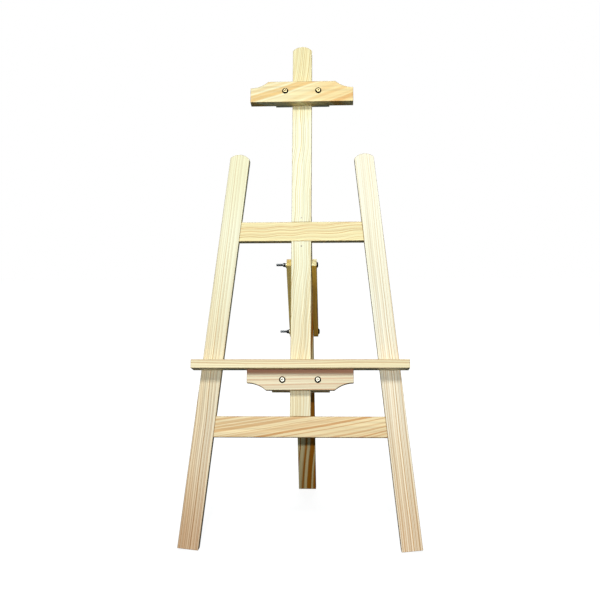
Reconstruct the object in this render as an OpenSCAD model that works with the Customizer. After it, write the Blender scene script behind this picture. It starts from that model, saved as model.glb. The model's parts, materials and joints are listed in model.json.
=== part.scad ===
// Wooden display easel: a splayed A-frame with a fixed mast, a clamped top holder and shelf
// that slide along the mast, and a hinged rear leg held by a slotted, folding brace.
// Units are millimetres. The easel stands on Z = 0 with its front toward -Y.
// Frame coordinates (inside in_frame) lie in the leaning front frame: X to the right, Y straight
// back from the front face, Z up along the mast.

/* [Stock] */
// Width of the legs, crossbars, mast and rear leg
stock_w = 45; // [40:1:50]
// Thickness of the legs, crossbars, mast and rear leg
stock_t = 18; // [16:1:20]

/* [Front frame] */
// Backward lean of the front frame from vertical, degrees
lean = 16; // [12:1:20]
// Distance from the centre line to each leg's centre at the foot
foot_half = 236; // [215:1:250]
// Distance from the centre line to each leg's centre at the top
leg_top_half = 143.5; // [135:0.5:150]
// Height of the leg's shoulders along the frame
leg_rise = 874; // [850:1:900]
// Height of the mast's shoulders along the frame
mast_rise = 1148; // [1100:1:1180]
// Height of the lower crossbar's bottom edge along the frame
lower_bar_rise = 237; // [200:1:250]
// Height of the upper crossbar's bottom edge along the frame
upper_bar_rise = 677; // [670:1:682]
// Radius of the rounded tops of the legs and the mast
top_r = 30; // [26:1:40]

/* [Shelf] */
// Length of the shelf
shelf_l = 472; // [440:1:490]
// Depth of the shelf
shelf_depth = 40; // [34:1:50]
// Thickness of the shelf
shelf_t = 19; // [18:1:22]
// Height of the shelf's underside along the frame
shelf_rise = 382; // [370:1:390]
// Length of the hanger board below the shelf
hanger_l = 232; // [220:1:250]
// Height of the hanger board
hanger_h = 45; // [40:1:50]

/* [Top holder] */
// Length of the top holder board
holder_l = 239; // [220:1:250]
// Height of the top holder board
holder_h = 51; // [46:1:56]
// Thickness of the top holder board
holder_t = 24; // [20:1:28]
// Height of the top holder's underside along the frame
holder_rise = 1006; // [990:1:1030]

/* [Rear leg and brace] */
// Angle between the mast and the rear leg when open, degrees
open_angle = 36; // [34:1:37]
// Distance along the rear leg from its hinge to the brace bolt
brace_drop = 240; // [236:1:244]
// Width of the brace bars
bar_w = 25; // [24:1:28]
// Thickness of the brace bars
bar_t = 11; // [8:1:12]

/* [Hardware] */
// Diameter of the bolts
bolt_d = 6; // [5:0.5:6]
// Diameter of the bolts' domed heads
head_d = 14.5; // [12:0.5:16]
// Diameter of the washers
washer_d = 13.5; // [12:0.5:18]
// Distance between the two clamp bolts of the holder and of the shelf
bolt_spacing = 77; // [74:1:90]
// Span of a wing nut's wings
wing_span = 27; // [24:1:30]

/* [Hidden] */

$fn = 64;
gap = 0.3;              // clearance between pieces that move past each other
fit_gap = 0.05;         // radial clearance of a pin or bolt in its running hole
cut = 1;                // how far cutting tools run past the surfaces they cut
pine = "#ecdfb6";
pine_orange = "#e6cf98";
pine_shade = "#c9a874";
zinc = "#c9ccd0";

// Legs: the splay follows from the foot and top spacings.
splay = atan((foot_half - leg_top_half) / leg_rise);
leg_len = leg_rise / cos(splay);
foot_cut = atan(tan(lean) * cos(splay));    // level cut of the foot from front to back
foot_lift = stock_w / 2 * sin(splay);       // lifts the inner corner of the foot to Z = 0
top_rise = top_r - sqrt(top_r * top_r - stock_w * stock_w / 4);

// Hinge: the pin sits in the corner between the block's back and the rear leg's top end.
block_t = 18;
block_low = 612;
block_high = 744;
leg_end_rise = 690;
knuckle_r = 2.3;
leaf_t = 1.2;
hinge_w = 38;
pin_d = 2.5;
knuckle_n = 5;
knuckle_pitch = hinge_w / knuckle_n;
pin_off = knuckle_r + 0.2;                  // pin axis to the wood that the leaves lie on
pin_y = stock_t + block_t + pin_off;
pin_z = leg_end_rise + pin_off;
pin_to_foot = world_z(pin_y, pin_z);
leg_tilt = open_angle - lean;               // rear leg's angle from vertical when open
leg_face_off = pin_off - 0.4;               // pin axis to the rear leg's front face
rear_len = (pin_to_foot - leg_face_off * sin(leg_tilt)) / cos(leg_tilt) - pin_off;

// Brace: pivots on the block's bolt; the rear leg's bolt runs in the slot as the leg folds.
brace_y = stock_t + block_t / 2;
brace_z = 628;
leg_bolt_in = stock_t / 2;
bar_x = stock_w / 2 + 0.8;                 // inner face of a brace bar
open_reach = brace_reach(open_angle);
open_bar_angle = brace_angle(open_angle);
fold_reach = brace_reach(0);
slot_side = 2.2;                            // sideways play that lets the bolt swing in the slot
slot_r = bolt_d / 2 + slot_side + gap;
bar_end_l = 7;                              // from the pivot to the bars' square-cut top end
brace_seat = bar_x + bar_t + gap;           // centre line to the seats of bolt head and washer

// Fasteners
head_h = 3.4;
socket_w = 4;
socket_deep = 2;
washer_t = 1.6;
nut_hub_r = 5;
nut_top_r = 4;
nut_hub_h = 6;
wing_t = 2;
wing_h = 12;
bolt_past_nut = 6;
brace_past_nut = 15.5;
brace_bolt_l = 2 * brace_seat + washer_t + nut_hub_h + brace_past_nut;
upper_nut_turn = 13;                        // how far the brace's wing nuts are turned
lower_nut_turn = -23;
thread_r = bolt_d / 2 - 0.4;
thread_pitch = 2;
dowel_d = 8;
dowel_l = 40;
dowel_side = 12;
bolt_grip = 4;                              // thread that starts inside the last piece held
thread_depth = 0.5;
thread_half = 0.7;                          // half the width of a thread groove at its mouth
nail_d = 2.4;
nail_head_d = 3.6;
nail_head_h = 1.2;
nail_low = 12;                              // lower nail, below the upper crossbar's bottom edge
nail_high = 10;                             // upper nail, above its top edge
nail_in = 15;                               // how far the nails reach into the hinge block
screw_d = 3;
screw_head_d = 6;
screw_head_h = 1.5;
leaf_screw_x = 12;
block_leaf_l = 19;                          // hinge leaf on the block, from the pin
leg_leaf_l = 17;                            // hinge leaf on the rear leg's end, from the pin
block_screw_l = 14;
leg_screw_l = 20;
shelf_screw_d = 4;
shelf_screw_head_d = 8;
shelf_screw_head_h = 2.5;
shelf_screw_l = 45;
shelf_screw_x = 90;

// Clamps
top_block_l = 127;
top_block_h = 30;
clamp_block_t = 15;
shelf_block_l = 128;
shelf_block_h = 45;
cove_r = 62;
cove_l = 41.5;
cove_drop = cove_r - sqrt(cove_r * cove_r - cove_l * cove_l);
holder_bolt_up = 27.5;                      // clamp bolts above the holder's underside
holder_bolt_rise = holder_rise + holder_bolt_up;
hanger_bolt_rise = shelf_rise - hanger_h / 2;
holder_front = -gap - holder_t;
clamp_back = stock_t + gap + clamp_block_t;

// The origin lies at the middle of the floor space that the easel covers.
rear_y = world_y(pin_y, pin_z) + pin_to_foot * tan(leg_tilt) + (stock_t - leg_face_off) / cos(leg_tilt);
base_mid = rear_y / 2;

// World position of a frame point (before the move to the floor's middle).
function world_y(y, z) = y * cos(lean) + z * sin(lean);
function world_z(y, z) = z * cos(lean) - y * sin(lean);

// Centre of the rear leg's bolt, seen from the brace pivot, with the leg at angle a.
function leg_bolt_y(a) = pin_y + brace_drop * sin(a) + (leg_bolt_in - leg_face_off) * cos(a) - brace_y;
function leg_bolt_z(a) = pin_z - brace_drop * cos(a) + (leg_bolt_in - leg_face_off) * sin(a) - brace_z;
function brace_reach(a) = sqrt(pow(leg_bolt_y(a), 2) + pow(leg_bolt_z(a), 2));
function brace_angle(a) = atan2(leg_bolt_y(a), -leg_bolt_z(a));

// Leg's inner edge, measured from the centre line, at a height along the frame.
function inner_edge(z) = foot_half - (z - foot_lift) * tan(splay) - stock_w / 2 / cos(splay);

module in_frame() {
    translate([0, -base_mid, 0])
        rotate([-lean, 0, 0])
            children();
}

// The rear leg's own coordinates: origin on the hinge pin, Z up along the leg, Y back.
module in_rear_leg() {
    in_frame()
        translate([0, pin_y, pin_z])
            rotate([open_angle, 0, 0])
                children();
}

// Board lying in the frame plane: an outline in X and Z, extruded back from y.
module board(y, t) {
    translate([0, y + t, 0])
        rotate([90, 0, 0])
            linear_extrude(t)
                children();
}

// Batten with a rounded top: its bottom edge is at z = low and its shoulders at z = high.
module batten_outline(low, high) {
    translate([-stock_w / 2, low])
        square([stock_w, high - low]);
    intersection() {
        translate([-stock_w / 2, high - cut])
            square([stock_w, top_rise + 2 * cut]);
        translate([0, high + top_rise - top_r])
            circle(top_r, $fn = 120);
    }
}

// Round hole or rod along Y, from y to y + l.
module along_y(r, y, l) {
    translate([0, y, 0])
        rotate([-90, 0, 0])
            cylinder(r = r, h = l);
}

// Round hole or rod along X, centred on X = 0.
module along_x(r, l) {
    rotate([0, 90, 0])
        cylinder(r = r, h = l, center = true);
}

// Dowel places at one crossbar: two dowels at each leg.
module at_dowels(bar_z) {
    for (side = [-1, 1])
        for (dz = [-dowel_side, dowel_side])
            translate([side * inner_edge(bar_z + stock_w / 2 + dz), stock_t / 2, bar_z + stock_w / 2 + dz])
                children();
}

module dowel_holes() {
    for (z = [lower_bar_rise, upper_bar_rise])
        at_dowels(z)
            along_x(dowel_d / 2, dowel_l);
}

module leg(side) {
    color(pine)
        in_frame()
            difference() {
                translate([side * foot_half, 0, foot_lift])
                    rotate([0, -side * splay, 0])
                        difference() {
                            board(0, stock_t)
                                batten_outline(-cut, leg_len);
                            rotate([foot_cut, 0, 0])
                                translate([-stock_w, -stock_w, -stock_w])
                                    cube([2 * stock_w, 3 * stock_w, stock_w]);
                        }
                dowel_holes();
            }
}

module mast() {
    color(pine)
        in_frame()
            difference() {
                board(0, stock_t)
                    batten_outline(lower_bar_rise, mast_rise);
                for (z = [lower_bar_rise, upper_bar_rise])
                    translate([-stock_w, -cut, z])
                        cube([2 * stock_w, stock_t / 2 + cut, stock_w]);
                nail_rods();
            }
}

// Crossbar between the legs, halved over the mast at its back.
module crossbar(bar_z) {
    color(pine_orange)
        in_frame()
            difference() {
                board(0, stock_t)
                    polygon([
                        [-inner_edge(bar_z), bar_z],
                        [inner_edge(bar_z), bar_z],
                        [inner_edge(bar_z + stock_w), bar_z + stock_w],
                        [-inner_edge(bar_z + stock_w), bar_z + stock_w]
                    ]);
                translate([-stock_w / 2, stock_t / 2, bar_z - cut])
                    cube([stock_w, stock_t, stock_w + 2 * cut]);
                dowel_holes();
            }
}

module crossbar_dowels() {
    color(pine_shade)
        in_frame()
            dowel_holes();
}

// Nails through the mast into the hinge block, above and below the upper crossbar.
module nail_rods() {
    for (z = [upper_bar_rise - nail_low, upper_bar_rise + stock_w + nail_high])
        translate([0, 0, z]) {
            along_y(nail_d / 2, 0, stock_t + nail_in);
            along_y(nail_head_d / 2, -cut, cut + nail_head_h);
        }
}

module block_nails() {
    color(zinc)
        in_frame()
            intersection() {
                nail_rods();
                translate([-stock_w, 0, 0])
                    cube([2 * stock_w, 2 * stock_w, mast_rise]);
            }
}

// Block on the back of the mast that carries the hinge and the brace's upper bolt.
module hinge_block() {
    color(pine)
        in_frame()
            difference() {
                translate([-stock_w / 2, stock_t, block_low])
                    cube([stock_w, block_t, block_high - block_low]);
                nail_rods();
                translate([0, brace_y, brace_z])
                    along_x(bolt_d / 2, stock_w + 2 * cut);
                fixed_screw_rods();
            }
}

// Hinge knuckles along X: every second one, starting at the first or the second.
module knuckles(first) {
    for (k = [first:2:knuckle_n - 1])
        translate([-hinge_w / 2 + k * knuckle_pitch + gap / 2, 0, 0])
            children();
}

module knuckle_tube() {
    rotate([0, 90, 0])
        cylinder(r = knuckle_r, h = knuckle_pitch - gap);
}

// One hinge leaf in its own place: the plate stands up from the pin, on the plane y = -pin_off.
module hinge_leaf(first, reach) {
    difference() {
        union() {
            translate([-hinge_w / 2, -pin_off, knuckle_r + gap])
                cube([hinge_w, leaf_t, reach - knuckle_r - gap]);
            knuckles(first) {
                knuckle_tube();
                translate([0, -pin_off, 0])
                    cube([knuckle_pitch - gap, leaf_t, knuckle_r + 2 * gap]);
            }
        }
        along_x(pin_d / 2 + (first == 0 ? 0 : fit_gap), hinge_w + 2 * cut);
    }
}

// Countersunk wood screws through a leaf: rods with a flush conical head, pointing to -Y.
module leaf_screws(reach, deep) {
    for (x = [-leaf_screw_x, leaf_screw_x])
        translate([x, -pin_off + leaf_t, (reach + knuckle_r) / 2 + 1])
            rotate([90, 0, 0]) {
                cylinder(d = screw_d, h = deep);
                cylinder(d1 = screw_head_d, d2 = screw_d, h = screw_head_h);
            }
}

module fixed_screw_rods() {
    translate([0, pin_y, pin_z])
        leaf_screws(block_leaf_l, block_screw_l);
}

module hinge_fixed_leaf() {
    color(zinc)
        in_frame()
            difference() {
                translate([0, pin_y, pin_z])
                    hinge_leaf(0, block_leaf_l);
                fixed_screw_rods();
            }
}

module hinge_fixed_screws() {
    color(zinc)
        in_frame()
            fixed_screw_rods();
}

module hinge_pin() {
    color(zinc)
        in_frame()
            translate([0, pin_y, pin_z])
                along_x(pin_d / 2, hinge_w);
}

// Turns a leaf from the block's back face onto the rear leg's top end.
module on_leg_end() {
    in_rear_leg()
        rotate([-90, 0, 0])
            mirror([0, 1, 0])
                children();
}

module rear_leg() {
    color(pine_shade)
        difference() {
            in_rear_leg()
                difference() {
                    translate([-stock_w / 2, -leg_face_off, -rear_len - stock_t - pin_off])
                        cube([stock_w, stock_t, rear_len + stock_t]);
                    translate([0, leg_bolt_in - leg_face_off, -brace_drop])
                        along_x(bolt_d / 2, stock_w + 2 * cut);
                }
            on_leg_end()
                leaf_screws(leg_leaf_l, leg_screw_l);
            translate([-stock_w, -rear_y, -stock_w])
                cube([2 * stock_w, 2 * rear_y, stock_w]);
        }
}

module hinge_leg_leaf() {
    color(zinc)
        on_leg_end()
            difference() {
                hinge_leaf(1, leg_leaf_l);
                leaf_screws(leg_leaf_l, leg_screw_l);
            }
}

module hinge_leg_screws() {
    color(zinc)
        on_leg_end()
            leaf_screws(leg_leaf_l, leg_screw_l);
}

// Bolt along +Y: the domed head's seat is at y = 0 and the shank runs back to y = l.
// The last stretch, from y = grip, is threaded.
module bolt(l, grip) {
    difference() {
        union() {
            rotate([90, 0, 0])
                dome(head_d / 2, head_h);
            along_y(bolt_d / 2, 0, l - 1);
            translate([0, l - 1, 0])
                rotate([-90, 0, 0])
                    cylinder(r1 = bolt_d / 2, r2 = thread_r, h = 1);
        }
        translate([0, -head_h - cut, 0])
            rotate([-90, 0, 0])
                cylinder(d = socket_w / cos(30), h = socket_deep + cut, $fn = 6);
        for (y = [grip:thread_pitch:l - 2])
            translate([0, y, 0])
                rotate([-90, 0, 0])
                    rotate_extrude()
                        translate([bolt_d / 2, 0])
                            polygon([[0.1, -thread_half], [0.1, thread_half], [-thread_depth, 0]]);
    }
}

// Low dome of revolution standing on Z = 0.
module dome(r, h) {
    ball_r = (r * r + h * h) / (2 * h);
    intersection() {
        cylinder(r = r, h = h);
        translate([0, 0, h - ball_r])
            sphere(ball_r, $fn = 96);
    }
}

// Washer along +Y with its near face at y = 0.
module washer() {
    rotate([-90, 0, 0])
        difference() {
            cylinder(d = washer_d, h = washer_t);
            translate([0, 0, -cut])
                cylinder(d = bolt_d, h = washer_t + 2 * cut);
        }
}

// Wing nut along +Y with its seat at y = 0 and its wings spread along X.
module wing_nut() {
    rotate([-90, 0, 0])
        difference() {
            union() {
                cylinder(r1 = nut_hub_r, r2 = nut_top_r, h = nut_hub_h);
                for (side = [-1, 1])
                    wing(side);
            }
            translate([0, 0, -cut])
                cylinder(r = bolt_d / 2 + fit_gap, h = wing_h + 2 * cut);
        }
}

// One wing: a flat ear that leans outward and ends in a round tip.
module wing(side) {
    root_x = nut_top_r - 0.5;
    root_r = 1.4;
    tip_r = 4;
    rotate([90, 0, 0])
        translate([0, 0, -wing_t / 2])
            linear_extrude(wing_t)
                hull() {
                    for (y = [root_r + 0.1, nut_hub_h - 2])
                        translate([side * root_x, y])
                            circle(root_r, $fn = 32);
                    translate([side * (wing_span / 2 - tip_r), wing_h - tip_r])
                        circle(tip_r, $fn = 48);
                }
}

// Bolt, washer and nut of the brace lie along X: heads on the right, wing nuts on the left.
module across() {
    rotate([0, 0, 90])
        children();
}

module brace_bolt() {
    translate([brace_seat, 0, 0])
        across()
            bolt(brace_bolt_l, 2 * brace_seat - bolt_grip);
}

module brace_washer() {
    translate([-brace_seat, 0, 0])
        across()
            washer();
}

module brace_nut(turn) {
    translate([-brace_seat - washer_t - gap, 0, 0])
        rotate([turn, 0, 0])
            across()
                wing_nut();
}

module at_brace_top() {
    in_frame()
        translate([0, brace_y, brace_z])
            children();
}

module at_leg_bolt() {
    in_rear_leg()
        translate([0, leg_bolt_in - leg_face_off, -brace_drop])
            children();
}

module brace_upper_bolt() {
    color(zinc)
        at_brace_top()
            brace_bolt();
}

module brace_upper_washer() {
    color(zinc)
        at_brace_top()
            brace_washer();
}

module brace_upper_wing_nut() {
    color(zinc)
        at_brace_top()
            brace_nut(upper_nut_turn);
}

module brace_lower_bolt() {
    color(zinc)
        at_leg_bolt()
            brace_bolt();
}

module brace_lower_washer() {
    color(zinc)
        at_leg_bolt()
            brace_washer();
}

module brace_lower_wing_nut() {
    color(zinc)
        at_leg_bolt()
            brace_nut(lower_nut_turn);
}

// Brace bar beside the block and the rear leg: a round hole at the top, a slot at the bottom.
module brace_bar(side) {
    color(pine_shade)
        at_brace_top()
            rotate([open_bar_angle, 0, 0])
                translate([side * (bar_x + bar_t / 2), 0, 0])
                    rotate([90, 0, 90])
                        translate([0, 0, -bar_t / 2])
                            linear_extrude(bar_t)
                                brace_outline();
}

module brace_outline() {
    difference() {
        union() {
            translate([-bar_w / 2, -open_reach])
                square([bar_w, open_reach + bar_end_l]);
            translate([0, -open_reach])
                circle(bar_w / 2);
        }
        circle(bolt_d / 2 + fit_gap);
        translate([-slot_r, -open_reach])
            square([2 * slot_r, open_reach - fold_reach]);
        for (z = [-open_reach, -fold_reach])
            translate([0, z])
                circle(slot_r);
    }
}

// Board with one straight edge at z = 0 and coved corners on the other edge, at z = h.
module coved_outline(l, h) {
    difference() {
        translate([-l / 2, 0])
            square([l, h]);
        for (side = [-1, 1])
            intersection() {
                translate([side * l / 2, h - cove_drop + cove_r])
                    circle(cove_r, $fn = 120);
                translate([side > 0 ? l / 2 - cove_l : -l / 2 - cut, h - cove_r])
                    square([cove_l + cut, 2 * cove_r]);
            }
    }
}

// The two clamp bolts straddle the mast.
module at_clamp_bolts(z) {
    for (side = [-1, 1])
        translate([side * bolt_spacing / 2, 0, z])
            children();
}

module top_holder_board() {
    color(pine_orange)
        in_frame()
            difference() {
                translate([0, 0, holder_rise])
                    board(holder_front, holder_t)
                        coved_outline(holder_l, holder_h);
                at_clamp_bolts(holder_bolt_rise)
                    along_y(bolt_d / 2, holder_front - cut, holder_t + 2 * cut);
            }
}

module top_clamp_block() {
    color(pine)
        in_frame()
            difference() {
                translate([-top_block_l / 2, stock_t + gap, holder_bolt_rise - top_block_h / 2])
                    cube([top_block_l, clamp_block_t, top_block_h]);
                at_clamp_bolts(holder_bolt_rise)
                    along_y(bolt_d / 2, stock_t, clamp_block_t + 2 * cut);
            }
}

module top_clamp_bolts() {
    grip = clamp_back - holder_front;
    color(zinc)
        in_frame()
            at_clamp_bolts(holder_bolt_rise)
                translate([0, holder_front, 0])
                    bolt(grip + washer_t + nut_hub_h + bolt_past_nut, grip - bolt_grip);
}

module top_clamp_washers() {
    color(zinc)
        in_frame()
            at_clamp_bolts(holder_bolt_rise)
                translate([0, clamp_back, 0])
                    washer();
}

module top_wing_nut(side) {
    color(zinc)
        in_frame()
            translate([side * bolt_spacing / 2, clamp_back + washer_t + gap, holder_bolt_rise])
                wing_nut();
}

module shelf_board() {
    color(pine)
        in_frame()
            difference() {
                translate([-shelf_l / 2, -gap - shelf_depth, shelf_rise])
                    cube([shelf_l, shelf_depth, shelf_t]);
                shelf_screw_rods();
            }
}

module shelf_screw_rods() {
    for (x = [-shelf_screw_x, 0, shelf_screw_x])
        translate([x, -gap - stock_t / 2, shelf_rise + shelf_t]) {
            translate([0, 0, -shelf_screw_l])
                cylinder(d = shelf_screw_d, h = shelf_screw_l);
            translate([0, 0, -shelf_screw_head_h])
                cylinder(d1 = shelf_screw_d, d2 = shelf_screw_head_d, h = shelf_screw_head_h);
        }
}

module shelf_screws() {
    color(zinc)
        in_frame()
            shelf_screw_rods();
}

module shelf_hanger() {
    color(pine_orange)
        in_frame()
            difference() {
                translate([0, 0, shelf_rise])
                    mirror([0, 0, 1])
                        board(-gap - stock_t, stock_t)
                            coved_outline(hanger_l, hanger_h);
                at_clamp_bolts(hanger_bolt_rise)
                    along_y(bolt_d / 2, -stock_t - gap - cut, stock_t + 2 * cut);
                shelf_screw_rods();
            }
}

module shelf_clamp_block() {
    color(pine)
        in_frame()
            difference() {
                translate([-shelf_block_l / 2, stock_t + gap, hanger_bolt_rise - shelf_block_h / 2])
                    cube([shelf_block_l, clamp_block_t, shelf_block_h]);
                at_clamp_bolts(hanger_bolt_rise)
                    along_y(bolt_d / 2, stock_t, clamp_block_t + 2 * cut);
            }
}

module shelf_clamp_bolts() {
    grip = clamp_back + stock_t + gap;
    color(zinc)
        in_frame()
            at_clamp_bolts(hanger_bolt_rise)
                translate([0, -stock_t - gap, 0])
                    bolt(grip + washer_t + nut_hub_h + bolt_past_nut, grip - bolt_grip);
}

module shelf_clamp_washers() {
    color(zinc)
        in_frame()
            at_clamp_bolts(hanger_bolt_rise)
                translate([0, clamp_back, 0])
                    washer();
}

module shelf_wing_nut(side) {
    color(zinc)
        in_frame()
            translate([side * bolt_spacing / 2, clamp_back + washer_t + gap, hanger_bolt_rise])
                wing_nut();
}

leg(-1);  // left_leg
leg(1);  // right_leg
mast();
crossbar(upper_bar_rise);  // upper_crossbar
crossbar(lower_bar_rise);  // lower_crossbar
crossbar_dowels();
hinge_block();
block_nails();
hinge_fixed_leaf();
hinge_fixed_screws();
hinge_pin();
brace_upper_bolt();
brace_upper_washer();
brace_upper_wing_nut();
rear_leg();
hinge_leg_leaf();
hinge_leg_screws();
brace_lower_bolt();
brace_lower_washer();
brace_lower_wing_nut();
brace_bar(-1);  // brace_bar_left
brace_bar(1);  // brace_bar_right
top_holder_board();
top_clamp_block();
top_clamp_bolts();
top_clamp_washers();
top_wing_nut(-1);  // top_wing_nut_left
top_wing_nut(1);  // top_wing_nut_right
shelf_board();
shelf_hanger();
shelf_screws();
shelf_clamp_block();
shelf_clamp_bolts();
shelf_clamp_washers();
shelf_wing_nut(-1);  // shelf_wing_nut_left
shelf_wing_nut(1);  // shelf_wing_nut_right
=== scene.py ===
"""Looks for the wooden easel: pine boards with eased edges and solid grain, and zinc hardware.

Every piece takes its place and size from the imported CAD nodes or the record's joints.
Board coordinates: X across the width, Y through the thickness, Z along the grain.
Hardware coordinates: Z along the bolt, from the head towards the nut. All lengths are metres.
"""

import json  # noqa: E402
import math  # noqa: E402

import bmesh  # noqa: E402
import bpy  # noqa: E402
from mathutils import Matrix, Vector  # noqa: E402


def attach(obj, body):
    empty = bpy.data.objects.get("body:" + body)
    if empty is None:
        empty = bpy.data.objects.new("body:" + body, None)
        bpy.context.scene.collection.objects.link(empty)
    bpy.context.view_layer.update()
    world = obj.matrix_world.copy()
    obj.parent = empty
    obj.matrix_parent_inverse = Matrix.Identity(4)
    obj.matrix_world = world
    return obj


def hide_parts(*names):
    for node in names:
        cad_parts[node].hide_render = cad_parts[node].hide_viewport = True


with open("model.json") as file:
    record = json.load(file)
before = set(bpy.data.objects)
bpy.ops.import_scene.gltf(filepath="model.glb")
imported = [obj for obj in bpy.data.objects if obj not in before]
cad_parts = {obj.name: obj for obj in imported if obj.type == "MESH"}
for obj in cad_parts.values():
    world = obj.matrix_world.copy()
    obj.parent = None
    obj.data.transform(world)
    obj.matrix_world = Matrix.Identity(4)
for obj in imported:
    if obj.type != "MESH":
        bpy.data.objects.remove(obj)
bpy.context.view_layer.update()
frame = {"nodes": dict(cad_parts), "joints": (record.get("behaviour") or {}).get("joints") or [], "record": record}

NODES = frame["nodes"]
JOINTS = {j["name"]: j for j in frame["joints"]}
BODY = {n: b for b, ns in frame["record"]["behaviour"]["bodies"].items() for n in ns}
MM = 0.001
TURN = 2 * math.pi
MARK = "arris"  # face attribute: a board's eased edges, or the socket and steep rim of a bolt
WELD = 0.01 * MM  # vertices of a CAD mesh closer than this are one vertex
scene = bpy.context.scene


# ---------------------------------------------------------------- node graphs


def linear(r, g, b):
    """An sRGB colour, 0 to 255, as linear RGBA."""
    out = []
    for c in (r, g, b):
        c /= 255
        out.append(c / 12.92 if c <= 0.04045 else ((c + 0.055) / 1.055) ** 2.4)
    return (*out, 1.0)


class Graph:
    """Short calls that add linked nodes to a material or a world."""

    def __init__(self, owner):
        self.owner = owner
        owner.use_nodes = True
        self.tree = owner.node_tree
        self.tree.nodes.clear()

    def put(self, socket, value):
        """Links a socket to a node's output, or sets its value."""
        if isinstance(value, bpy.types.NodeSocket):
            self.tree.links.new(value, socket)
        else:
            socket.default_value = value

    def node(self, kind, inputs=None, **props):
        n = self.tree.nodes.new("ShaderNode" + kind)
        for key, value in props.items():
            setattr(n, key, value)
        for key, value in (inputs or {}).items():
            self.put(n.inputs[key], value)
        return n

    def math(self, op, *values):
        return self.node("Math", dict(enumerate(values)), operation=op).outputs[0]

    def vec(self, op, *values):
        n = self.node("VectorMath", dict(enumerate(values)), operation=op)
        return n.outputs["Value" if op == "LENGTH" else "Vector"]

    def noise(self, vector, per_metre, detail=1.0, out=0):
        """Noise with that many features per metre along each axis."""
        at = self.vec("MULTIPLY", vector, per_metre)
        return self.node("TexNoise", {"Vector": at, "Scale": 1.0, "Detail": detail}).outputs[out]

    def swing(self, value, gain, base):
        """base, plus gain times a noise value's distance from its middle."""
        return self.math("MULTIPLY_ADD", self.math("SUBTRACT", value, 0.5), gain, base)

    def remap(self, value, lo, hi, to_lo=0.0, to_hi=1.0, smooth=False):
        n = self.node(
            "MapRange",
            {"Value": value, "From Min": lo, "From Max": hi, "To Min": to_lo, "To Max": to_hi},
            interpolation_type="SMOOTHSTEP" if smooth else "LINEAR",
        )
        return n.outputs["Result"]

    def mix(self, factor, a, b, blend="MIX"):
        n = self.node("Mix", data_type="RGBA", blend_type=blend)
        sockets = {s.identifier: s for s in n.inputs}
        for key, value in (("Factor_Float", factor), ("A_Color", a), ("B_Color", b)):
            self.put(sockets[key], value)
        return next(s for s in n.outputs if s.identifier == "Result_Color")

    def tint(self, amount, colour, rgb):
        """The colour multiplied by rgb, as far as amount says."""
        return self.mix(amount, colour, (*rgb, 1.0), "MULTIPLY")

    def marked(self):
        """1 on marked faces, else 0."""
        return self.node("Attribute", attribute_name=MARK).outputs["Fac"]

    def finish(self, **sockets):
        """Adds a Principled shader with these sockets, linked or set, and returns the material."""
        shader = self.node("BsdfPrincipled", {k.replace("_", " "): v for k, v in sockets.items()})
        self.node("OutputMaterial", {"Surface": shader.outputs[0]})
        return self.owner


def new_material(name):
    return Graph(bpy.data.materials.new(name))


# Features per metre across, through and along a board.
BEND_ACROSS = 2.5
RIPPLES = (26, 26, 13)
FIBRES = (1500, 1500, 24)
STREAKS = (210, 210, 2.4)
TONES = (11, 11, 2.1)
DUCTS = (950, 950, 60)

BEND_GAIN = 5.0  # the noise swings far less than its full range, so a bend is scaled up
RIPPLE_GAIN = 0.55
PACE = 0.31  # how fast the ring width wanders from year to year
PACE_GAIN = 1.8
DEEPEN_FROM = 0.30  # along the board: the contrast grows from here
DEEPEN_TO = -0.45  # to here
STREAK_LIMIT = 1.2  # the most contrast that a streak takes
TONE_TINT = (0.975, 0.925, 0.82)
# ARRIS_TINT darkens the eased edges: partly wear, partly a painted shade line outlining each board.
ARRIS_TINT = (0.58, 0.47, 0.33)
DUCT_COLOUR = linear(168, 120, 70)
DUCT_SHARE = 0.35  # of the duct's own colour
FIBRE_LIGHT = 0.16
STREAK_LIGHT = 0.55

WOOD_ROUGH = 0.52
FIBRE_ROUGH = 0.22
LATE_ROUGH = -0.12
ARRIS_ROUGH = -0.08
WOOD_SPECULAR = 0.35
FIBRE_RELIEF = 0.35
LATE_RELIEF = 0.65
DUCT_RELIEF = -0.5


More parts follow.
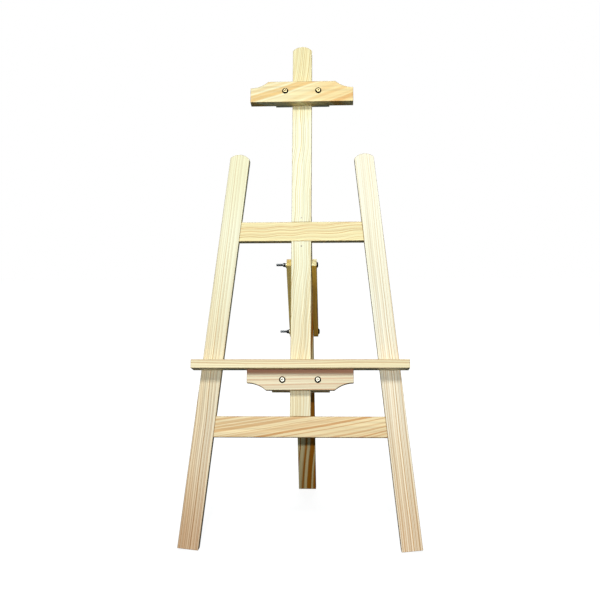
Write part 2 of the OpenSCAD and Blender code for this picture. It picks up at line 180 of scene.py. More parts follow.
def pine(
    name,
    early=(254, 252, 220),
    late=(236, 204, 138),
    spacing=4.6,
    pith=(240, 30),
    tilt=(0.0, 0.0),
    wander=4.0,
    contrast=0.75,
    seed=0.0,
    fades=(),
    sharp=0.9,
    onset=0.30,
    wave=3.4,
    even=0.45,
    deepen=1.0,
    end_tint=(0.80, 0.70, 0.56),
):
    """Planed pine as a solid: growth rings round a pith that lies pith mm off the board's middle.

    early and late are the sRGB colours of the two kinds of wood in a ring. spacing is the mean
    ring width in mm, tilt leans the pith along the board, wander bends the rings by that many
    mm, and wave is how many bends a metre holds. onset and sharp are the shares of a ring where
    the late wood starts and peaks, and even is the faintest ring's share of the strongest.
    deepen scales the contrast towards the board's low end. Each fade (axis, clear, full, tint)
    tints the wood along an axis, from nothing at clear to the whole tint at full, both in mm
    from the board's middle. end_tint tints the end grain.
    """
    g = new_material(name)
    at = g.node("TexCoord").outputs["Object"]
    seeded = g.vec("ADD", at, (seed, seed * 1.7, seed * 0.6))
    xyz = g.node("SeparateXYZ", {0: at}).outputs

    middle = (0.5, 0.5, 0.5)
    bend = g.noise(seeded, (BEND_ACROSS, BEND_ACROSS, wave), out="Color")
    ripple = g.noise(seeded, RIPPLES, out="Color")
    bend = g.vec("MULTIPLY", g.vec("SUBTRACT", bend, middle), (wander * BEND_GAIN * MM,) * 3)
    ripple = g.vec("MULTIPLY", g.vec("SUBTRACT", ripple, middle), (wander * RIPPLE_GAIN * MM,) * 3)
    shift = g.node("SeparateXYZ", {0: g.vec("ADD", bend, ripple)}).outputs
    from_pith = {}
    for axis in (0, 1):
        lean = g.math("MULTIPLY_ADD", xyz[2], tilt[axis], -pith[axis] * MM)
        from_pith[axis] = g.math("ADD", g.math("ADD", xyz[axis], lean), shift[axis])
    radius = g.vec("LENGTH", g.node("CombineXYZ", from_pith).outputs[0])

    years = g.math("DIVIDE", radius, spacing * MM)
    pace_at = g.math("MULTIPLY_ADD", years, PACE, seed)
    pace = g.node("TexNoise", {"W": pace_at, "Detail": 1.0}, noise_dimensions="1D").outputs[0]
    years = g.math("MULTIPLY_ADD", pace, PACE_GAIN, years)
    year_seed = g.math("ADD", g.math("FLOOR", years), seed)
    vigour = g.node("TexWhiteNoise", {"W": year_seed}, noise_dimensions="1D").outputs[0]
    part = g.math("FRACT", years)
    rise = g.remap(part, onset, sharp, smooth=True)
    fall = g.remap(part, sharp, 1.0, 1.0, 0.0)
    strength = g.remap(vigour, 0.0, 1.0, even, 1.0)
    lateness = g.math("MULTIPLY", g.math("MULTIPLY", rise, fall), strength)
    depth = g.remap(xyz[2], DEEPEN_FROM, DEEPEN_TO, contrast, contrast * deepen)

    fibre = g.noise(seeded, FIBRES, 2.0)
    streak = g.noise(seeded, STREAKS, 2.0)
    tone = g.noise(seeded, TONES, 2.0)
    ducts = g.remap(g.noise(seeded, DUCTS), 0.72, 0.80)
    edge_wear_and_shade = g.marked()

    colour = g.mix(g.math("MULTIPLY", lateness, depth), linear(*early), linear(*late))
    colour = g.tint(g.remap(tone, 0.42, 0.72), colour, TONE_TINT)
    # Fades tint the wood along an axis; in BOARDS several are painted light falloff and one is a painted shadow.
    for axis, clear, full, tint in fades:
        reached = g.remap(xyz[axis], clear * MM, full * MM, smooth=True)
        colour = g.tint(reached, colour, tint)
    light = g.swing(fibre, FIBRE_LIGHT, 1.0)
    lines = g.swing(streak, g.math("MINIMUM", depth, STREAK_LIMIT), 0.0)
    light = g.math("MULTIPLY_ADD", lines, STREAK_LIGHT, light)
    grey = g.node("CombineColor", {0: light, 1: light, 2: light}).outputs[0]
    colour = g.mix(1.0, colour, grey, "MULTIPLY")
    colour = g.mix(g.math("MULTIPLY", ducts, DUCT_SHARE), colour, DUCT_COLOUR)
    facing = g.node("SeparateXYZ", {0: g.node("TexCoord").outputs["Normal"]}).outputs[2]
    end_grain = g.remap(g.math("ABSOLUTE", facing), 0.75, 0.97)
    colour = g.tint(end_grain, colour, end_tint)
    # Eased edges darker: partly wear, partly painted shade outlining the board.
    colour = g.tint(edge_wear_and_shade, colour, ARRIS_TINT)

    rough = g.swing(fibre, FIBRE_ROUGH, WOOD_ROUGH)
    rough = g.math("MULTIPLY_ADD", lateness, LATE_ROUGH, rough)
    rough = g.math("MULTIPLY_ADD", edge_wear_and_shade, ARRIS_ROUGH, rough)
    relief = g.math("MULTIPLY", fibre, FIBRE_RELIEF)
    relief = g.math("MULTIPLY_ADD", lateness, LATE_RELIEF, relief)
    relief = g.math("MULTIPLY_ADD", ducts, DUCT_RELIEF, relief)
    bump = g.node("Bump", {"Height": relief, "Strength": 0.35, "Distance": 0.25 * MM})
    return g.finish(
        Base_Color=colour, Roughness=rough, Specular_IOR_Level=WOOD_SPECULAR, Normal=bump.outputs[0]
    )


# Features per metre of plated metal.
HAZE = (190, 190, 190)
GRIT = (2300, 2300, 2300)
SCUFFS = (1400, 240, 620)

HAZE_SHADE = 0.84
SCUFF_SHARE = 0.45
SCUFF_COLOUR = linear(138, 136, 130)
SOCKET_AND_RIM_SHADE = linear(22, 21, 19)
HAZE_ROUGH = 0.12
SCUFF_ROUGH = 0.16
RIM_ROUGH = 0.12


def zinc(name, tint, rough, seed=0.0):
    """Zinc plate with hazy patches, fine scuffs and a faint grit; marked faces are painted nearly black, as
    painted shade in a bolt's socket and painted shade and dark reflection on its steep rim.
    """
    g = new_material(name)
    at = g.vec("ADD", g.node("TexCoord").outputs["Object"], (seed, seed * 0.7, seed * 1.3))
    hazy = g.remap(g.noise(at, HAZE, 3.0), 0.40, 0.68)
    scuff = g.remap(g.noise(at, SCUFFS, 2.0), 0.60, 0.74)
    rim = g.marked()
    colour = g.mix(hazy, linear(*tint), linear(*(int(c * HAZE_SHADE) for c in tint)))
    colour = g.mix(g.math("MULTIPLY", scuff, SCUFF_SHARE), colour, SCUFF_COLOUR)
    # Painted shade in the socket, and painted shade and dark reflection on the dome's steep rim.
    colour = g.mix(rim, colour, SOCKET_AND_RIM_SHADE)
    roughness = g.math("MULTIPLY_ADD", hazy, HAZE_ROUGH, rough)
    roughness = g.math("MULTIPLY_ADD", scuff, SCUFF_ROUGH, roughness)
    roughness = g.math("MULTIPLY_ADD", rim, RIM_ROUGH, roughness)
    grit = g.noise(at, GRIT, 2.0)
    bump = g.node("Bump", {"Height": grit, "Strength": 0.25, "Distance": 0.06 * MM})
    return g.finish(
        Base_Color=colour, Metallic=1.0, Roughness=roughness, Normal=bump.outputs[0]
    )


# ---------------------------------------------------------------- shared mesh steps


def add_object(name, mesh, place, node, material):
    """Links a piece, puts it in place, and lets it ride with, and stand for, its CAD node."""
    obj = bpy.data.objects.new(name, mesh)
    scene.collection.objects.link(obj)
    obj.matrix_world = place
    mesh.materials.append(material)
    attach(obj, BODY[node])
    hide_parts(node)
    return obj


def to_mesh(bm, name, crease):
    """The finished mesh, shaded smooth apart from edges sharper than crease degrees."""
    bmesh.ops.recalc_face_normals(bm, faces=bm.faces[:])
    mesh = bpy.data.meshes.new(name)
    bm.to_mesh(mesh)
    bm.free()
    mesh.shade_smooth()
    mesh.set_sharp_from_angle(angle=math.radians(crease))
    return mesh


def cad_points(node, place):
    """The CAD node's vertices in a place's own coordinates."""
    to_place = place.inverted()
    return [to_place @ v.co for v in NODES[node].data.vertices]


# ---------------------------------------------------------------- boards

PARALLEL = 0.99995  # normals with a larger dot product count as one direction
SQUARE = 0.01  # and with a smaller one, as square to each other
FLAT = math.radians(0.6)
BOARD_EDGE = math.radians(28)
HOLE_FACET = 2.2 * MM  # the rims of drilled holes have no edge as long as this
ARRIS = 0.8 * MM


def board_axes(node):
    """The board's own axes, from its two largest pairs of flat faces: a world matrix."""
    areas = []
    for poly in NODES[node].data.polygons:
        for entry in areas:
            if abs(poly.normal.dot(entry[0])) > PARALLEL:
                entry[1] += poly.area
                break
        else:
            areas.append([poly.normal.copy(), poly.area])
    areas.sort(key=lambda entry: -entry[1])
    thick = areas[0][0]
    wide = next(n for n, _ in areas[1:] if abs(n.dot(thick)) < SQUARE)
    grain = thick.cross(wide).normalized()
    if max(grain, key=abs) < 0:
        grain.negate()
    if thick.y < 0:
        thick = -thick
    thick = (thick - grain * thick.dot(grain)).normalized()
    wide = thick.cross(grain).normalized()
    turn = Matrix((wide, thick, grain)).transposed().to_4x4()
    local = cad_points(node, turn)
    lo = Vector([min(v[i] for v in local) for i in range(3)])
    hi = Vector([max(v[i] for v in local) for i in range(3)])
    return Matrix.Translation(turn @ ((lo + hi) / 2)) @ turn


def outline_edges(bm):
    """Sharp edges of the board itself, without the rims of small drilled holes."""
    sharp = {e for e in bm.edges if len(e.link_faces) == 2 and e.calc_face_angle(0) > BOARD_EDGE}
    found, seen = [], set()
    for start in sorted(sharp, key=lambda e: e.index):
        if start in seen:
            continue
        group, todo = [], [start]
        seen.add(start)
        while todo:
            edge = todo.pop()
            group.append(edge)
            for vert in edge.verts:
                for other in vert.link_edges:
                    if other in sharp and other not in seen:
                        seen.add(other)
                        todo.append(other)
        if max(e.calc_length() for e in group) > HOLE_FACET:
            found += group
    return found


def board(node, material):
    """A board with the CAD solid's own shape and eased arrises."""
    place = board_axes(node)
    bm = bmesh.new()
    bm.from_mesh(NODES[node].data)
    bm.transform(place.inverted())
    bmesh.ops.remove_doubles(bm, verts=bm.verts, dist=WELD)
    bmesh.ops.dissolve_limit(bm, angle_limit=FLAT, verts=bm.verts[:], edges=bm.edges[:])
    bm.edges.index_update()
    mark = bm.faces.layers.float.new(MARK)
    eased = bmesh.ops.bevel(
        bm,
        geom=outline_edges(bm),
        offset=ARRIS,
        offset_type="OFFSET",
        segments=3,
        profile=0.5,
        affect="EDGES",
        clamp_overlap=True,
    )
    for face in eased["faces"]:
        face[mark] = 1.0
    mesh = to_mesh(bm, node + "_board", crease=50)
    obj = add_object(node + "_board", mesh, place, node, material)
    even = obj.modifiers.new("even", "WEIGHTED_NORMAL")
    even.keep_sharp = True
    even.weight = 100


LEG = dict(spacing=4.4, wander=2.4, contrast=0.62, deepen=2.5)
BOARDS = {
    # The fades are painted light falloff: darker and warmer towards the foot, and slightly darker and yellower
    # towards the top.
    "left_leg": dict(
        LEG, early=(250, 250, 222), late=(194, 156, 92), pith=(-190, 60), seed=1.3,
        tilt=(0.012, 0.0),
        fades=((2, 200, -330, (0.90, 0.75, 0.68)), (2, -250, -440, (0.80, 0.68, 0.60)),
               (2, 200, 420, (0.93, 0.92, 0.84))),
    ),
    # The fades are painted light falloff: darker and warmer towards the foot.
    "right_leg": dict(
        LEG, early=(254, 254, 234), late=(202, 166, 104), pith=(230, 40), seed=4.1,
        tilt=(-0.010, 0.0),
        fades=((2, 200, -330, (1.0, 0.90, 0.84)), (2, -250, -440, (0.98, 0.93, 0.92))),
    ),
    # The fades are painted light falloff: darker and warmer towards the bottom, darker and yellower towards the
    # top.
    "mast": dict(
        early=(250, 251, 222), late=(208, 182, 112), spacing=3.8, pith=(130, 90), seed=7.7,
        wander=6.0, contrast=1.25, deepen=0.75, tilt=(-0.10, 0.03), wave=7.0,
        fades=((2, 0, -340, (0.95, 0.86, 0.79)), (2, 250, 330, (0.91, 0.84, 0.66))),
    ),
    "upper_crossbar": dict(
        early=(247, 234, 178), late=(198, 140, 44), spacing=4.4, pith=(60, 58), seed=2.9,
        wander=6.0, contrast=1.0, tilt=(0.05, 0.02), sharp=0.8, onset=0.25, wave=9.0,
    ),
    "lower_crossbar": dict(
        early=(248, 228, 180), late=(202, 138, 50), spacing=7.6, pith=(106, 54), seed=5.2,
        wander=3.5, contrast=1.05, tilt=(0.15, 0.03), sharp=0.6, onset=0.08,
    ),
    "hinge_block": dict(spacing=4.2, pith=(40, 50), seed=6.4, contrast=0.7),
    "rear_leg": dict(
        early=(212, 194, 144), late=(166, 102, 14), spacing=12.4, pith=(84.5, 50), seed=9.5,
        even=0.9, wander=5.0, contrast=1.6, tilt=(-0.06, -0.02), sharp=0.68, onset=0.22,
    ),
    # end_tint above 1 is a painted highlight: it lightens the lit end grain.
    "brace_bar_left": dict(
        early=(215, 194, 116), late=(141, 97, 38), spacing=4.8, pith=(50, 38), seed=3.6,
        contrast=0.95, end_tint=(1.22, 1.20, 1.27),
    ),
    # The dark early and late colours are partly painted shade on the bar's faces; end_tint is a painted highlight
    # on the lit end grain, and the fade is painted light brightening the bar's upper part.
    "brace_bar_right": dict(
        early=(178, 136, 53), late=(115, 66, 14), spacing=4.4, pith=(-46, 36), seed=8.8,
        contrast=0.95, end_tint=(1.62, 2.6, 11.3), fades=((2, 35, 85, (1.42, 1.52, 1.40)),),
    ),
    "top_holder_board": dict(
        early=(244, 236, 188), late=(220, 176, 88), spacing=24.0, pith=(-160, 64), seed=6.2,
        wander=8.0, contrast=1.0, tilt=(0.42, 0.1), sharp=0.55, onset=0.0, wave=5.0,
        fades=((2, 0, 60, (0.97, 0.86, 0.72)), (2, 0, -60, (1.0, 1.04, 1.16))),
    ),
    "top_clamp_block": dict(spacing=4.0, pith=(60, 40), seed=5.9, contrast=0.8),
    "shelf_board": dict(
        early=(248, 237, 196), late=(200, 150, 84), spacing=5.0, pith=(30, 120), seed=7.1,
        wander=3.5, contrast=0.95,
    ),
    # The fade is a painted shadow: the shelf's shade, reddish, along the hanger's top edge.
    "shelf_hanger": dict(
        early=(239, 228, 193), late=(200, 144, 94), spacing=5.6, pith=(140, 40), seed=4.7,
        wander=3.5, contrast=0.95, fades=((0, -8, -17, (0.56, 0.28, 0.20)),),
    ),
    "shelf_clamp_block": dict(spacing=4.6, pith=(55, 44), seed=1.9, contrast=0.8),
}
for board_node, look in BOARDS.items():
    board(board_node, pine("wood_" + board_node, **look))


# ---------------------------------------------------------------- hardware

SIDES = 48
THREAD_PITCH = 1.0 * MM
THREAD_DEPTH = 0.62 * MM
THREAD_STEPS = 6  # rings per turn of the thread
THREAD_END = 0.35  # the depth left at the thread's end, as a share
SHANK_R = 3.0 * MM
HEAD_R = 7.25 * MM
HEAD_H = 3.4 * MM
SOCKET_AF = 4.0 * MM
SOCKET_DEEP = 2.0 * MM
BOLT_REACH = 12 * MM  # a bolt's or washer's points are all closer than this to its axis
NUT_REACH = 30 * MM
BARE_SHANK = 5 * MM  # the thread starts this far in front of the washer
HEAD_CREASE = 42

ZINC = zinc("zinc_plate", (222, 218, 200), 0.36)
# A yellowish tint that paints a warm reflection onto the holder's bolts.
ZINC_WARM = zinc("zinc_warm_reflection", (196, 180, 134), 0.40, 2.0)
ZINC_GREY = zinc("zinc_dulled", (168, 174, 178), 0.36, 4.0)
# Darker than the plate: painted shade on the wing nuts.
ZINC_NUT = zinc("zinc_cast_painted_shade", (108, 108, 106), 0.34, 3.0)
STEEL = zinc("nail_steel", (120, 116, 108), 0.42, 5.0)


def across_axis(point, axis):
    """World matrix at point with Z along axis."""
    z = Vector(axis).normalized()
    x = Vector((0, 0, 1)).cross(z)
    x = x.normalized() if x.length > 0.1 else Vector((1, 0, 0))
    return Matrix.Translation(point) @ Matrix((x, z.cross(x), z)).transposed().to_4x4()


def off_axis(v):
    return math.hypot(v.x, v.y)


def span(points, reach):
    """Lowest and highest Z of the points closer than reach to the Z axis."""
    near = [v.z for v in points if off_axis(v) < reach]
    return min(near), max(near)


def skin(bm, rings, mark=None, marked=(), close=True):
    """Faces between rings of the same count.

    The first and last ring are capped if close, else they are joined. The bands between the
    rings whose numbers are in marked get the mark.
    """
    loops = [[bm.verts.new(p) for p in ring] for ring in rings]
    pairs = list(zip(loops, loops[1:]))
    if not close:
        pairs.append((loops[-1], loops[0]))
    count = len(loops[0])
    for i, (a, b) in enumerate(pairs):
        for k in range(count):
            m = (k + 1) % count
            face = bm.faces.new((a[k], b[k], b[m], a[m]))
            if i in marked:
                face[mark] = 1.0
    if close:
        bm.faces.new(loops[0])
        bm.faces.new(loops[-1][::-1])


def polar(r, angle, z):
    return Vector((r * math.cos(angle), r * math.sin(angle), z))


def circle(r, z, sides=SIDES):
    return [polar(r, TURN * k / sides, z) for k in range(sides)]


def hexagon(af, z):
    """A ring of points on a hexagon of that width across flats."""
    ring = []
    for k in range(SIDES):
        a = TURN * k / SIDES
        ring.append(polar(af / 2 / math.cos((a % (TURN / 6)) - TURN / 12), a, z))
    return ring


def thread(z0, z1):
    """Rings of a helical thread from z0 to z1, shallow at its start and at its end."""
    rings = []
    steps = int((z1 - z0) / THREAD_PITCH * THREAD_STEPS)
    for i in range(steps + 1):
        z = z0 + (z1 - z0) * i / steps
        fade_in = (z - z0) / (2 * THREAD_PITCH)
        fade_out = (z1 - z) / THREAD_PITCH + THREAD_END
        depth = THREAD_DEPTH * min(1.0, fade_in, fade_out)
        ring = []
        for k in range(SIDES):
            wave = 0.5 - 0.5 * math.cos(TURN * ((z - z0) / THREAD_PITCH - k / SIDES))
            ring.append(polar(SHANK_R - depth * wave, TURN * k / SIDES, z))
        rings.append(ring)
    return rings


# Radius and height of the domed head in mm, from the socket's mouth to the rim.
DOME = (
    (3.2, 0.02), (4.2, 0.2), (5.0, 0.5), (5.5, 0.85), (6.0, 1.3), (6.5, 1.9), (6.9, 2.45),
    (7.15, 2.8),
)


def bolt_mesh(name, low, high, grip):
    """Domed bolt with a hex socket.

    low is the dome's top, high the shank's end, and grip where the thread starts.
    """
    seat = low + HEAD_H
    floor = low + SOCKET_DEEP
    socket = [hexagon(SOCKET_AF * 0.4, floor + 0.3 * MM), hexagon(SOCKET_AF, floor)]
    mouth = [hexagon(SOCKET_AF, low + 0.35 * MM), hexagon(SOCKET_AF + 0.5 * MM, low + 0.06 * MM)]
    dome = [circle(r * MM, low + z * MM) for r, z in DOME]
    rim = [circle(HEAD_R, low + 3.05 * MM), circle(HEAD_R - 0.05 * MM, seat - 0.12 * MM)]
    under = [
        circle(HEAD_R - 0.2 * MM, seat),
        circle(SHANK_R + 0.2 * MM, seat),
        circle(SHANK_R, seat + 0.2 * MM),
    ]
    shank = [circle(SHANK_R, grip)] + thread(grip + 0.3 * MM, high - 0.8 * MM)
    tip = [circle(SHANK_R - 0.9 * MM, high - 0.1 * MM), circle(SHANK_R - 1.1 * MM, high)]
    # The socket and the dome's steep rim carry the mark, which the zinc paints nearly black as painted shade and
    # dark reflection.
    steep_from = len(socket + mouth) + 1
    steep_to = len(socket + mouth + dome + rim)
    bm = bmesh.new()
    mark = bm.faces.layers.float.new(MARK)
    rings = socket + mouth + dome + rim + under + shank + tip
    skin(bm, rings, mark, (0, 1, *range(steep_from, steep_to)))
    return to_mesh(bm, name, crease=HEAD_CREASE)


def washer_mesh(name, low, high, outer):
    """Flat washer with rolled edges and a punched, slightly dished face."""
    inner = SHANK_R + 0.2 * MM
    soft = 0.25 * MM
    outline = [
        (inner, low + soft), (inner + soft, low), (outer - soft, low), (outer, low + soft),
        (outer, high - soft), (outer - soft, high), (outer - 1.2 * MM, high - 0.1 * MM),
        (inner + 1.0 * MM, high - 0.12 * MM), (inner + soft, high), (inner, high - soft),
    ]
    bm = bmesh.new()
    skin(bm, [circle(r, z) for r, z in outline], close=False)
    return to_mesh(bm, name, crease=60)


HUB_R = 5.0 * MM
HUB_SHARE = 0.52  # the hub's share of the nut's height
EAR_SIDES = 20
EAR_SQUARE = 0.75  # below 1, the ear's section is squarer than an ellipse
EAR_LEAN = 0.62
# The ear from its root to its tip: how far out and how high its middle is and half its width,
# as shares of the nut's reach, height and height, and half its thickness in mm.
EAR = (
    (0.27, 0.27, 0.24, 1.5), (0.38, 0.32, 0.25, 1.5), (0.52, 0.44, 0.26, 1.35),
    (0.66, 0.56, 0.29, 1.2), (0.78, 0.645, 0.31, 1.1), (0.88, 0.69, 0.285, 1.05),
    (0.95, 0.715, 0.21, 0.95), (0.99, 0.725, 0.10, 0.6),
)
CAST_GRAIN = 0.28 * MM


def ear_ring(centre, across, half_wide, half_thick):
    """A ring of the ear's section: half_wide along across, and half_thick along Y."""
    ring = []
    for k in range(EAR_SIDES):
        c, s = math.cos(TURN * k / EAR_SIDES), math.sin(TURN * k / EAR_SIDES)
        wide = half_wide * math.copysign(abs(c) ** EAR_SQUARE, c)
        thick = half_thick * math.copysign(abs(s) ** EAR_SQUARE, s)
        ring.append(centre + across * wide + Vector((0, 1, 0)) * thick)
    return ring


def wing_nut_mesh(name, length, reach):
    """Cast wing nut: a tapered hub and two ears, fused into one skin. Seat at Z = 0."""
    hub_h = HUB_SHARE * length
    bore = SHANK_R + 0.25 * MM
    hub = [
        (bore, 0.4 * MM), (bore + 0.4 * MM, 0.0), (HUB_R - 0.5 * MM, 0.0), (HUB_R, 0.5 * MM),
        (HUB_R - 0.1 * MM, 1.6 * MM), (HUB_R - 0.7 * MM, hub_h - 0.7 * MM),
        (HUB_R - 1.2 * MM, hub_h), (bore + 0.3 * MM, hub_h), (bore, hub_h - 0.3 * MM),
    ]
    bm = bmesh.new()
    skin(bm, [circle(r, z) for r, z in hub], close=False)
    for side in (-1, 1):
        rings = []
        for out, up, half, thick in EAR:
            across = Vector((-EAR_LEAN * side * (0.3 + out), 0, 1)).normalized()
            centre = Vector((side * reach * out, 0, up * length))
            rings.append(ear_ring(centre, across, half * length, thick * MM))
        skin(bm, rings)
    rough = to_mesh(bm, name + "_rough", crease=180)
    holder = bpy.data.objects.new(name + "_rough", rough)
    scene.collection.objects.link(holder)
    fuse = holder.modifiers.new("fuse", "REMESH")
    fuse.mode = "VOXEL"
    fuse.voxel_size = CAST_GRAIN
    ease = holder.modifiers.new("ease", "SMOOTH")
    ease.factor = 0.5
    ease.iterations = 4
    graph = bpy.context.evaluated_depsgraph_get()
    mesh = bpy.data.meshes.new_from_object(holder.evaluated_get(graph))
    mesh.name = name
    bpy.data.objects.remove(holder)
    mesh.shade_smooth()
    return mesh


SCREW_SIDES = 64
SCREW_RINGS = 14
SCREW_SHANK = 0.48  # the shank's radius as a share of the head's
SCREW_FACE = 0.05 * MM  # points of the CAD solid this near its top belong to its flat face
FIRST_TURN = 0.4  # how far the first screw's cross is turned, in radians, and each next one more
NEXT_TURN = 1.1


def share(value, full):
    """value as a share of full, kept from 0 to 1."""
    return max(0.0, min(1.0, value / full))


def screw_mesh(name, radius, shank_r, length):
    """Countersunk screw with a cross recess: its flat top at Z = 0, the point towards +Z."""
    half_slot = 0.17 * radius + 0.02 * MM
    slot_run = 0.60 * radius
    recess = 0.42 * radius
    rings = []
    for i in range(1, SCREW_RINGS):
        r = radius * (i / SCREW_RINGS)
        ring = []
        for k in range(SCREW_SIDES):
            a = TURN * k / SCREW_SIDES
            fold = abs(((a + TURN / 8) % (TURN / 4)) - TURN / 8)
            inside = share(half_slot - r * math.sin(fold), 0.12 * radius)
            along = share(slot_run - r * math.cos(fold), 0.28 * radius)
            ring.append(polar(r, a, recess * inside * along))
        rings.append(ring)
    cone = (radius - shank_r) * 0.9
    outline = (
        (radius, 0.12 * MM), (radius * 0.985, 0.3 * MM), (shank_r, cone + 0.3 * MM),
        (shank_r, length * 0.7), (shank_r * 0.4, length),
    )
    rings += [circle(r, z, SCREW_SIDES) for r, z in outline]
    bm = bmesh.new()
    skin(bm, rings)
    return to_mesh(bm, name, crease=30)


def merged(name, parts):
    """One mesh, in world coordinates, from (mesh, matrix) pairs, whose own meshes are removed."""
    bm = bmesh.new()
    bm.faces.layers.float.new(MARK)
    for mesh, place in parts:
        mesh.transform(place)
        bm.from_mesh(mesh)
        bpy.data.meshes.remove(mesh)
    out = bpy.data.meshes.new(name)
    bm.to_mesh(out)
    bm.free()
    out.shade_smooth()
    out.set_sharp_from_angle(angle=math.radians(HEAD_CREASE))
    return out


WORLD = Matrix.Identity(4)
# Bolts, washers and wing nuts, and the bolts' finish.
CLAMPS = (
    ("top_clamp_bolts", "top_clamp_washers", ("top_wing_nut_left", "top_wing_nut_right"),
     ZINC_WARM),
    ("shelf_clamp_bolts", "shelf_clamp_washers", ("shelf_wing_nut_left", "shelf_wing_nut_right"),
     ZINC),
    ("brace_upper_bolt", "brace_upper_washer", ("brace_upper_wing_nut",), ZINC_GREY),
    ("brace_lower_bolt", "brace_lower_washer", ("brace_lower_wing_nut",), ZINC_GREY),
)
for bolts, washers, nuts, plate in CLAMPS:
    bolt_parts, washer_parts = [], []
    for nut in nuts:
        turn = JOINTS[nut.replace("wing_", "") + "_turn"]
        place = across_axis(Vector(turn["pos_m"]), turn["axis"])
        low, high = span(cad_points(bolts, place), BOLT_REACH)
        washer_points = cad_points(washers, place)
        face, back = span(washer_points, BOLT_REACH)
        outer = max(r for r in map(off_axis, washer_points) if r < BOLT_REACH)
        bolt_parts.append((bolt_mesh(bolts, low, high, face - BARE_SHANK), place))
        washer_parts.append((washer_mesh(washers, face, back, outer), place))

        nut_points = cad_points(nut, place)
        nut_low, nut_high = span(nut_points, NUT_REACH)
        tip = max(nut_points, key=off_axis)
        cast = wing_nut_mesh(nut, nut_high - nut_low, off_axis(tip))
        seat = place @ Matrix.Translation((0, 0, nut_low))
        spin = Matrix.Rotation(math.atan2(tip.y, tip.x), 4, "Z")
        add_object(nut + "_cast", cast, seat @ spin, nut, ZINC_NUT)
    add_object(bolts + "_turned", merged(bolts, bolt_parts), WORLD, bolts, plate)
    add_object(washers + "_rolled", merged(washers, washer_parts), WORLD, washers, ZINC)


def islands(node):
    """The CAD node's separate solids, each as a list of world points."""
    bm = bmesh.new()
    bm.from_mesh(NODES[node].data)
    bmesh.ops.remove_doubles(bm, verts=bm.verts, dist=WELD)
    left, out = set(bm.verts), []
    for start in bm.verts:
        if start not in left:
            continue
        todo, group = [start], []
        left.discard(start)
        while todo:
            vert = todo.pop()
            group.append(vert.co.copy())
            for edge in vert.link_edges:
                other = edge.other_vert(vert)
                if other in left:
                    left.discard(other)
                    todo.append(other)
        out.append(group)
    bm.free()
    return out


def screws(node, axis):
    """A cross-head screw in place of each countersunk solid of the node; axis points into the wood."""
    parts = []
    for points in islands(node):
        depths = [p.dot(axis) for p in points]
        top = min(depths)
        face = [p for p in points if p.dot(axis) < top + SCREW_FACE]
        centre = sum(face, Vector()) / len(face)
        radius = max((p - centre).length for p in face)
        driven = Matrix.Rotation(FIRST_TURN + NEXT_TURN * len(parts), 4, "Z")
        screw = screw_mesh(node, radius, radius * SCREW_SHANK, max(depths) - top)
        parts.append((screw, across_axis(centre, axis) @ driven))
    add_object(node + "_cross", merged(node, parts), WORLD, node, ZINC)


frame_back = Vector(JOINTS["top_nut_left_turn"]["axis"]).normalized()
up_mast = Vector(JOINTS["top_holder_slide"]["axis"]).normalized()
leg_grain = (board_axes("rear_leg").to_3x3() @ Vector((0, 0, 1))).normalized()
screws("hinge_fixed_screws", -frame_back)
screws("hinge_leg_screws", -leg_grain)
screws("shelf_screws", -up_mast)

DOWEL = pine(
    "wood_dowel", early=(214, 186, 140), late=(190, 150, 98), spacing=1.6, pith=(30, 20), seed=3.3
)
KEPT = {
    "hinge_fixed_leaf": ZINC,
    "hinge_leg_leaf": ZINC,
    "hinge_pin": ZINC,
    "block_nails": STEEL,
    "crossbar_dowels": DOWEL,
}
for kept_node, finish in KEPT.items():
    NODES[kept_node].data.materials.clear()
    NODES[kept_node].data.materials.append(finish)


# ---------------------------------------------------------------- floor, light and camera

FLOOR_HALF = 14.0
PAPER = ((0.15, 0.15, 0.15, 1), (0.17, 0.17, 0.17, 1))
GLOW_FROM = 0.35  # the floor's glow grows from this distance
GLOW_TO = 1.3  # to this one
GLOW_NEAR = 0.92
FLOOR_DIM = (0.03, 0.055, 0.085, 1)
WORLD_FILL = (0.60, 1.0, 1.12, 1)
FILL_STRENGTH = 0.105
WHITE = (1, 1, 1, 1)
EASEL_MIDDLE = (0, 0, 0.6)
# Each light's place, size in metres, watts and colour.
LIGHTS = {
    "spot": ((0.34, -8.0, 2.46), 0.12, 292, (1, 1, 1)),
    "key": ((-0.1, -2.3, 2.7), 0.6, 54, (1.0, 1.0, 0.99)),
    "rear": ((-0.1, 2.6, 2.4), 1.6, 62, (1, 1, 1)),
}
CAMERA_AT = (0.0852, -1.9966, 0.6393)
CAMERA_TO = (-0.0063, 0.0, 0.5133)
CAMERA_ROLL = math.radians(-0.368)
SENSOR_MM = 36.0
LENS_MM = 51.36


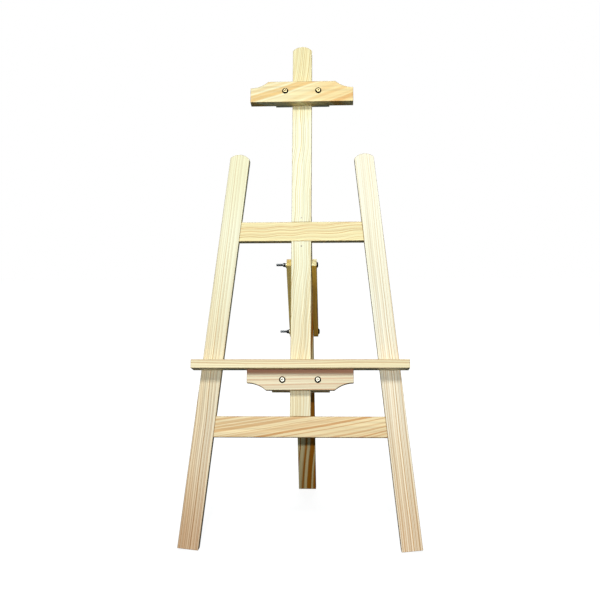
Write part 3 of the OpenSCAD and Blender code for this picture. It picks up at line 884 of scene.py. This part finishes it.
def stage_floor():
    """A pale floor that brightens into the white background away from the easel.

    To the camera it is white paper. On the easel it throws only a dim, cool light.
    """
    h = FLOOR_HALF
    mesh = bpy.data.meshes.new("floor")
    mesh.from_pydata([(-h, -h, 0), (h, -h, 0), (h, h, 0), (-h, h, 0)], [], [(0, 1, 2, 3)])
    obj = bpy.data.objects.new("floor", mesh)
    scene.collection.objects.link(obj)
    g = new_material("floor_paper")
    at = g.node("TexCoord").outputs["Object"]
    speck = g.noise(at, (3, 3, 3), 3.0)
    paper = g.node("BsdfDiffuse", {"Color": g.mix(speck, *PAPER)})
    away = g.remap(g.vec("LENGTH", at), GLOW_FROM, GLOW_TO, GLOW_NEAR, 1.0, smooth=True)
    glow = g.node("Emission", {"Color": WHITE, "Strength": away})
    lit = g.node("AddShader", {0: paper.outputs[0], 1: glow.outputs[0]})
    dim = g.node("BsdfDiffuse", {"Color": FLOOR_DIM})
    seen = g.node("LightPath").outputs["Is Camera Ray"]
    both = g.node("MixShader", {0: seen, 1: dim.outputs[0], 2: lit.outputs[0]})
    g.node("OutputMaterial", {"Surface": both.outputs[0]})
    mesh.materials.append(g.owner)


def stage_world():
    """A white background, and a weak, cool light from all round."""
    scene.world = bpy.data.worlds.new("studio")
    g = Graph(scene.world)
    soft = g.node("Background", {"Color": WORLD_FILL, "Strength": FILL_STRENGTH})
    white = g.node("Background", {"Color": WHITE, "Strength": 1.0})
    seen = g.node("LightPath").outputs["Is Camera Ray"]
    both = g.node("MixShader", {0: seen, 1: soft.outputs[0], 2: white.outputs[0]})
    g.node("OutputWorld", {"Surface": both.outputs[0]})


def area_light(name, at, size, watts, colour):
    data = bpy.data.lights.new(name, "AREA")
    data.size = size
    data.energy = watts
    data.color = colour
    obj = bpy.data.objects.new(name, data)
    scene.collection.objects.link(obj)
    obj.location = at
    aim = Vector(EASEL_MIDDLE) - Vector(at)
    obj.rotation_euler = aim.to_track_quat("-Z", "Y").to_euler()


def place_camera():
    data = bpy.data.cameras.new("camera")
    data.sensor_width = SENSOR_MM
    data.lens = LENS_MM
    camera = bpy.data.objects.new("camera", data)
    scene.collection.objects.link(camera)
    camera.location = CAMERA_AT
    aim = Vector(CAMERA_TO) - camera.location
    roll = Matrix.Rotation(CAMERA_ROLL, 4, "Z")
    turned = aim.to_track_quat("-Z", "Y").to_matrix().to_4x4() @ roll
    camera.rotation_euler = turned.to_euler()
    scene.camera = camera


stage_floor()
stage_world()
for light_name, light in LIGHTS.items():
    area_light(light_name, *light)
place_camera()
scene.view_settings.view_transform = "Standard"
